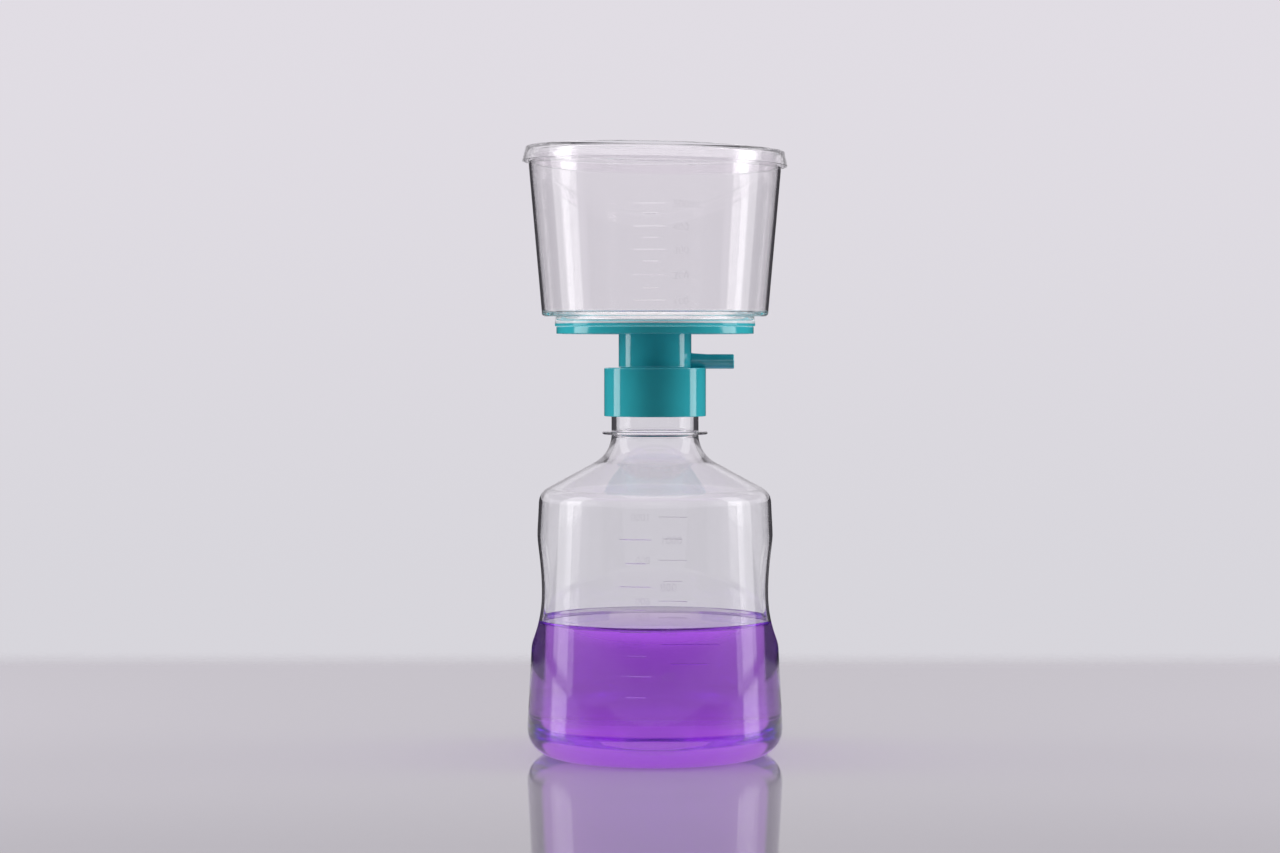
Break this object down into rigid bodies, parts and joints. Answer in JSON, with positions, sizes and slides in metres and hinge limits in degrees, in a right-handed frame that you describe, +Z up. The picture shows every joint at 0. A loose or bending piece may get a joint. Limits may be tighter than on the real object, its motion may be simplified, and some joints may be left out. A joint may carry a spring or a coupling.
{
  "type": "vacuum filtration unit",
  "caption": "Bottle-top vacuum filtration unit: clear tapered funnel cup with loose lid, screw-on filter head with side port, and a gripped receiver bottle holding liquid.",
  "frame": {"origin": "centre of the bottle's foot, on the surface it stands on", "axes": "+Z up along the bottle's axis, +X along the vacuum port"},
  "size_m": [0.1257, 0.1256, 0.2885],
  "materials": {
    "clear_plastic": "clear and glossy",
    "purple_liquid": "clear purple liquid",
    "seal": "satin",
    "teal_plastic": "semi-gloss",
    "plug": "matt fibre",
    "membrane": "matt"
  },
  "bodies": {
    "bottle": {"bottle": "clear_plastic", "liquid": "purple_liquid"},
    "seal": {"neck_gasket": "seal"},
    "head": {"screw_cap": "teal_plastic", "stem": "teal_plastic", "port": "teal_plastic", "drain_tube": "teal_plastic", "dish": "teal_plastic", "port_plug": "plug", "membrane": "membrane", "funnel_cup": "clear_plastic"},
    "lid": {"lid": "clear_plastic"}
  },
  "joints": [
    {"name": "head_lift", "type": "slide", "parent": "bottle", "child": "seal", "axis": [0, 0, 1], "range_m": [0, 0.0061]},
    {"name": "head_turn", "type": "hinge", "parent": "seal", "child": "head", "pos_m": [0, 0, 0.18], "axis": [0, 0, 1], "range_deg": [0, 540]},
    {"name": "lid_lift", "type": "slide", "parent": "head", "child": "lid", "axis": [0, 0, 1], "range_m": [0, 0.04]}
  ],
  "couplings": [
    {"joint": "head_lift", "follows": "head_turn", "m_per_rad": 0.00063662}
  ]
}
